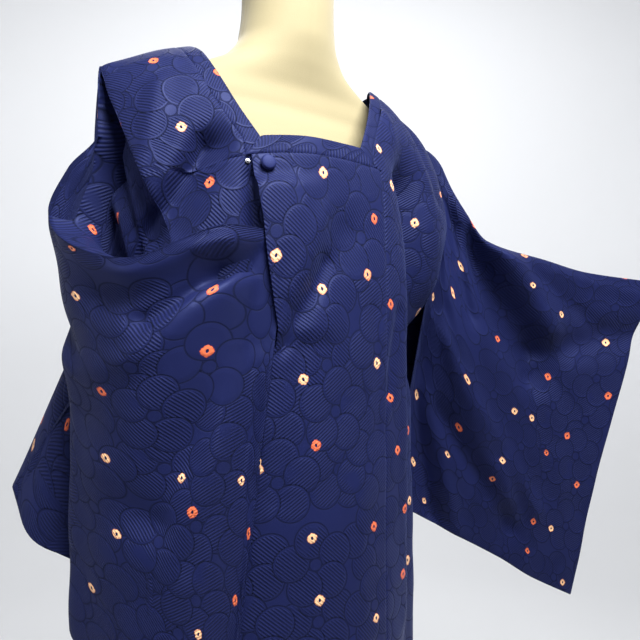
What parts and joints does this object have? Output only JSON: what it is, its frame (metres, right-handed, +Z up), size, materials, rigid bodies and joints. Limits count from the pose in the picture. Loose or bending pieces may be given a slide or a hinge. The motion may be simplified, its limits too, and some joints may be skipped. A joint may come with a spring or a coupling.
{
  "type": "kimono coat on a dress form",
  "caption": "Kimono coat with a square neck, wide hanging sleeves and a covered button, worn by a limbless dress form on a round stand.",
  "frame": {"origin": "on the floor at the centre of the stand's base", "axes": "+Z up; the coat faces -Y; the wearer's right is at -X"},
  "size_m": [0.8078, 0.38, 1.44],
  "materials": {
    "cloth": "figured silk, soft satin sheen, navy",
    "covered_button": "the same silk drawn over a button",
    "metal": "brushed",
    "form_cover": "plain cream jersey",
    "base_wood": "satin varnish"
  },
  "bodies": {
    "root": {"body_right": "cloth", "body_left": "cloth", "front_band_right": "cloth", "front_band_left": "cloth", "neck_band_right": "cloth", "neck_band_left": "cloth", "neck_band_back": "cloth", "neck_band_front_left": "cloth", "neck_band_front_right": "cloth", "sleeve_right": "cloth", "sleeve_left": "cloth", "button": "covered_button", "snap": "metal", "form_torso": "form_cover", "stand_pole": "metal", "stand_base": "base_wood"}
  },
  "joints": []
}
